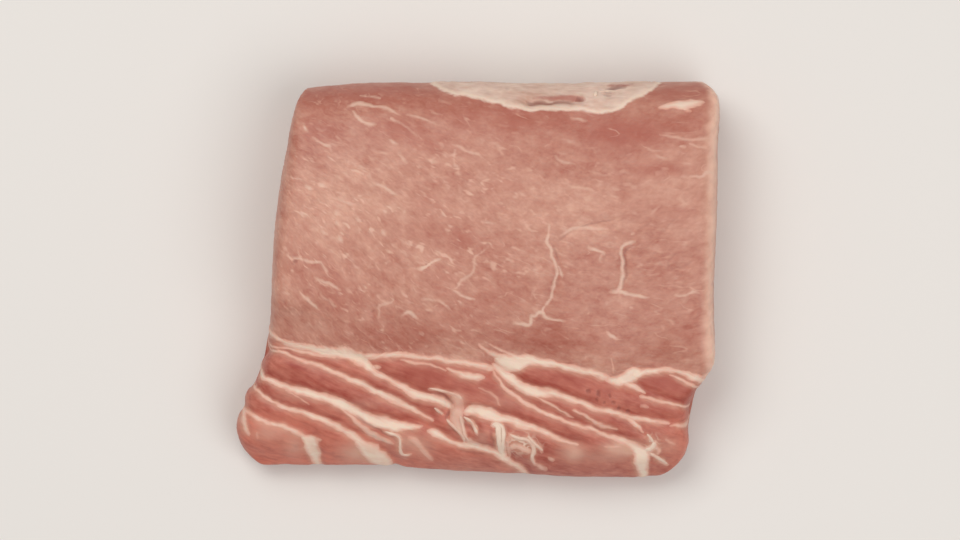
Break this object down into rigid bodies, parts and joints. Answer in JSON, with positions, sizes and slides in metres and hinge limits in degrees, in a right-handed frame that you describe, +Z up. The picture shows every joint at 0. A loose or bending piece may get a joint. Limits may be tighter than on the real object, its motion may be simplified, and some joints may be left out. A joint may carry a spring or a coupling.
{
  "type": "boneless pork loin",
  "caption": "Raw boneless pork loin joint lying on its side, a smooth eye of lean with a thinner streaky rib side flap along one edge.",
  "frame": {"origin": "centre of the bounding box in plan, on the flat underside that the meat rests on", "axes": "+X along the loin from the cut end where the flap sticks out to the other cut end, +Y from the streaky flap to the fat covered back edge, +Z up"},
  "size_m": [0.174, 0.143, 0.046],
  "materials": {
    "raw_pork": "moist raw lean pork, pale rose with fine cream marbling, redder strips with cream fat between them in the flap"
  },
  "bodies": {
    "root": {"pork_loin": "raw_pork"}
  },
  "joints": []
}
